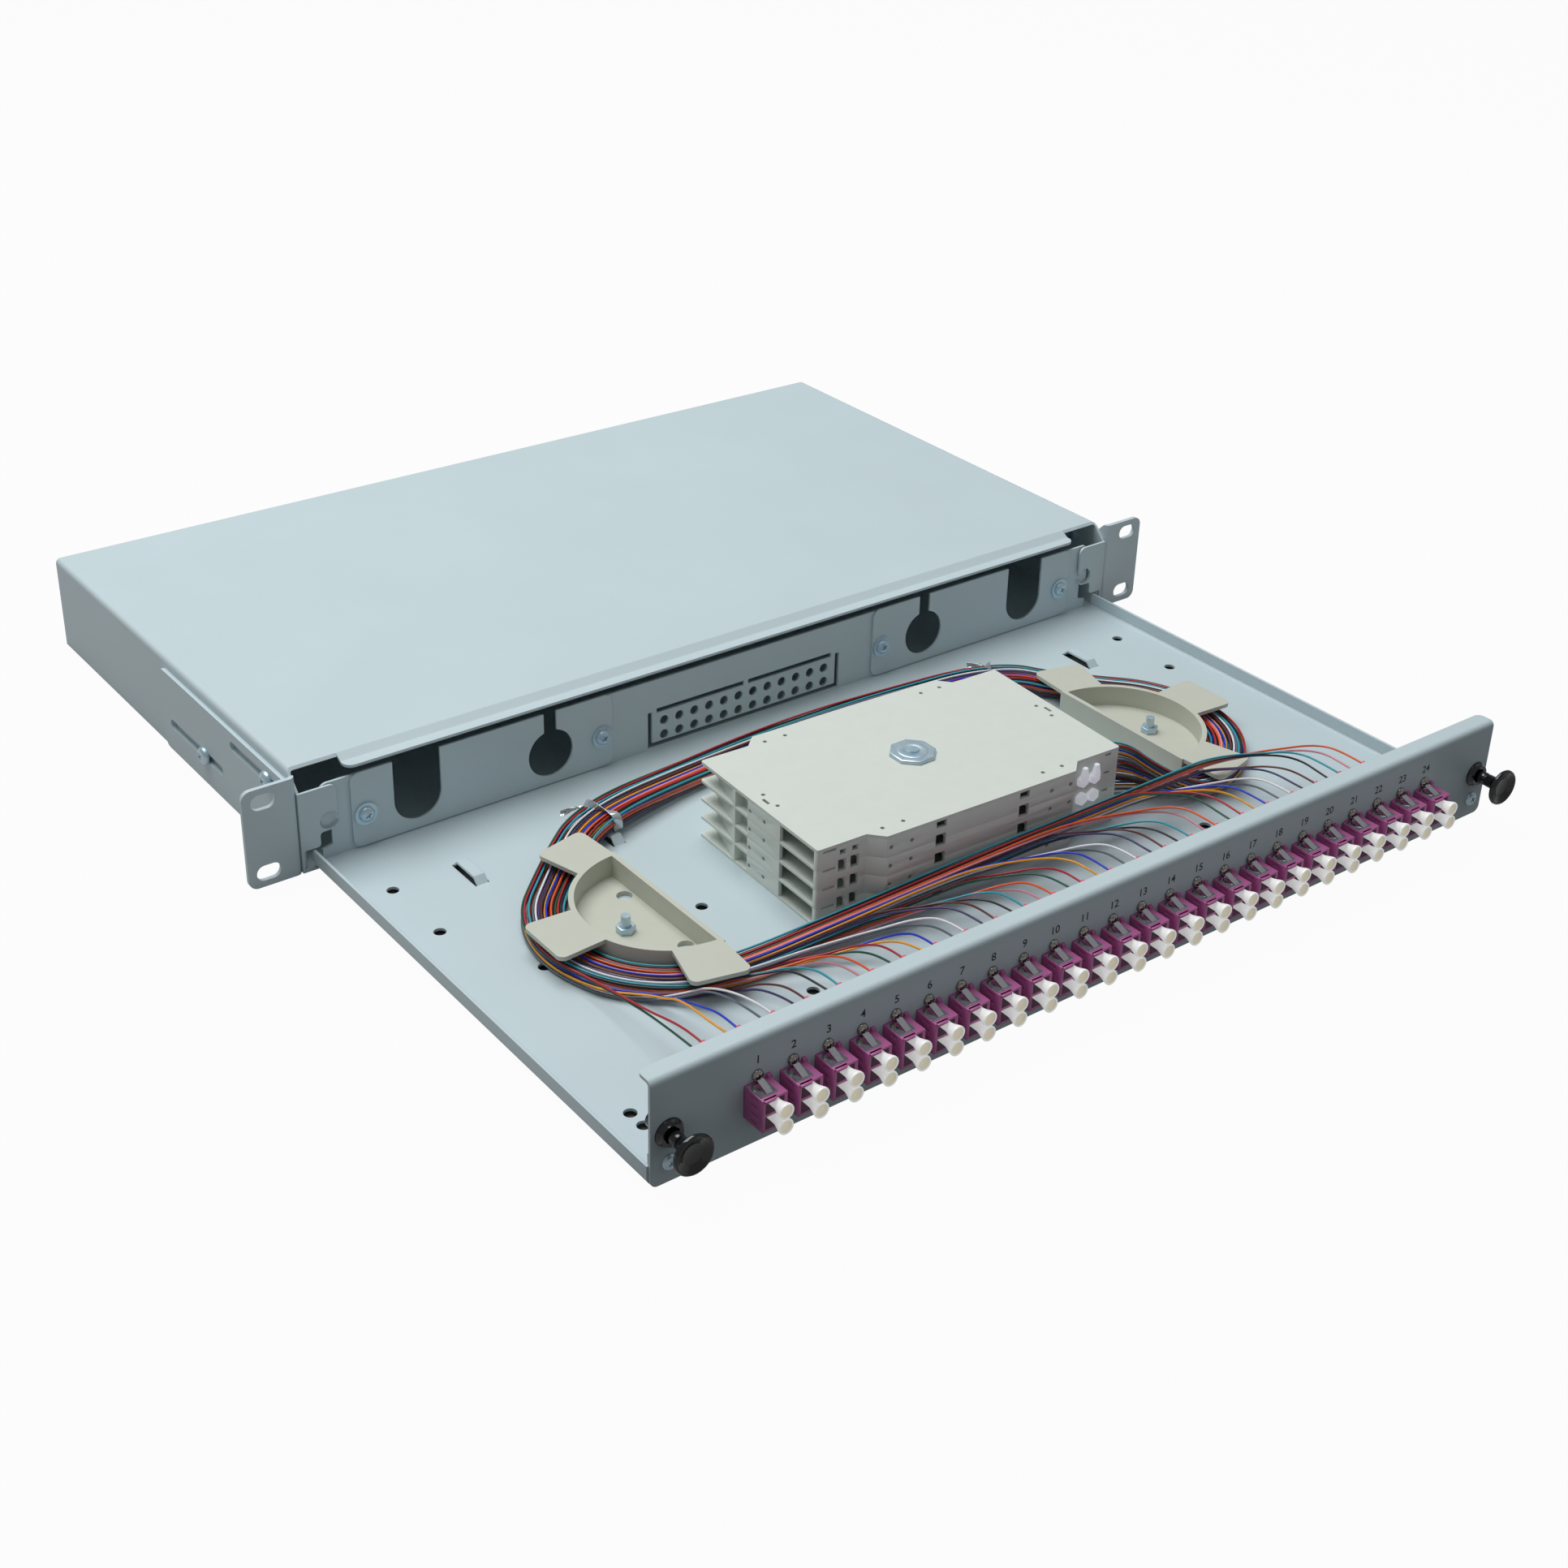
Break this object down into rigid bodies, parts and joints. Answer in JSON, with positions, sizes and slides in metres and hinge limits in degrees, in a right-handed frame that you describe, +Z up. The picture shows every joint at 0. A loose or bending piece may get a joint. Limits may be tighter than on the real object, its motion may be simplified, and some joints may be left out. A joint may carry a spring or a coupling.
{
  "type": "fibre splice box",
  "caption": "Rack-mounted fibre splice box: sheet-metal casing with a pull-out drawer that carries a row of fibre adapters, coiled pigtails and a stack of splice cassettes.",
  "frame": {"origin": "centre of the rectangle of four rack slots, on the front face of the ears", "axes": "+X to the right seen from the front, -Y towards the front, +Z up"},
  "size_m": [0.4826, 0.4998, 0.044],
  "materials": {
    "light_grey_powder_coat": "fine-textured light grey powder coat",
    "zinc_plated_steel": "bright zinc plating",
    "bright_steel": "plain nickel-plated steel",
    "violet_plastic": "moulded, satin",
    "violet_connector_plastic": "moulded, satin",
    "white_plastic": "moulded, slightly translucent",
    "black_nylon": "moulded, gloss",
    "grey_guide_plastic": "moulded, satin",
    "cassette_plastic": "moulded, satin",
    "clear_sleeve": "shrunk clear tube with a steel rod",
    "fibre_coating": "coloured 0.9 mm buffer tubes"
  },
  "bodies": {
    "casing": {"casing_cover": "light_grey_powder_coat", "casing_base": "light_grey_powder_coat", "ear_screws": "zinc_plated_steel", "ear_nuts": "zinc_plated_steel"},
    "drawer": {"tray": "light_grey_powder_coat", "front_panel": "light_grey_powder_coat", "entry_plate_left": "light_grey_powder_coat", "entry_plate_right": "light_grey_powder_coat", "panel_screws": "zinc_plated_steel", "entry_screws": "zinc_plated_steel", "entry_washers": "zinc_plated_steel", "tray_studs": "zinc_plated_steel", "guide_nuts": "zinc_plated_steel", "stack_nut": "zinc_plated_steel", "adapter_screws": "bright_steel", "adapter_clips": "bright_steel", "adapter_01": "violet_plastic", "adapter_02": "violet_plastic", "adapter_03": "violet_plastic", "adapter_04": "violet_plastic", "adapter_05": "violet_plastic", "adapter_06": "violet_plastic", "adapter_07": "violet_plastic", "adapter_08": "violet_plastic", "adapter_09": "violet_plastic", "adapter_10": "violet_plastic", "adapter_11": "violet_plastic", "adapter_12": "violet_plastic", "adapter_13": "violet_plastic", "adapter_14": "violet_plastic", "adapter_15": "violet_plastic", "adapter_16": "violet_plastic", "adapter_17": "violet_plastic", "adapter_18": "violet_plastic", "adapter_19": "violet_plastic", "adapter_20": "violet_plastic", "adapter_21": "violet_plastic", "adapter_22": "violet_plastic", "adapter_23": "violet_plastic", "adapter_24": "violet_plastic", "dust_caps": "white_plastic", "lc_connectors": "violet_connector_plastic", "pigtails_left": "fibre_coating", "pigtails_right": "fibre_coating", "latch_grommets": "black_nylon", "fibre_guide_left": "grey_guide_plastic", "fibre_guide_right": "grey_guide_plastic", "splice_tray_1": "cassette_plastic", "splice_tray_2": "cassette_plastic", "splice_tray_3": "cassette_plastic", "splice_tray_4": "cassette_plastic", "splice_lid": "cassette_plastic", "splice_combs": "cassette_plastic", "cassette_links": "white_plastic", "splice_sleeves": "clear_sleeve", "twist_ties": "white_plastic"},
    "ear_left": {"ear_left": "light_grey_powder_coat"},
    "ear_right": {"ear_right": "light_grey_powder_coat"},
    "latch_left": {"latch_plunger_left": "black_nylon"},
    "latch_right": {"latch_plunger_right": "black_nylon"}
  },
  "joints": [
    {"name": "drawer_slide", "type": "slide", "parent": "casing", "child": "drawer", "axis": [0, 1, 0], "range_m": [0, 0.2335]},
    {"name": "latch_left_push", "type": "slide", "parent": "drawer", "child": "latch_left", "axis": [0, 1, 0], "range_m": [0, 0.007]},
    {"name": "latch_right_push", "type": "slide", "parent": "drawer", "child": "latch_right", "axis": [0, 1, 0], "range_m": [0, 0.007]},
    {"name": "ear_left_depth", "type": "slide", "parent": "casing", "child": "ear_left", "axis": [0, 1, 0], "range_m": [-0.032, 0.015]},
    {"name": "ear_right_depth", "type": "slide", "parent": "casing", "child": "ear_right", "axis": [0, 1, 0], "range_m": [-0.032, 0.015]}
  ]
}
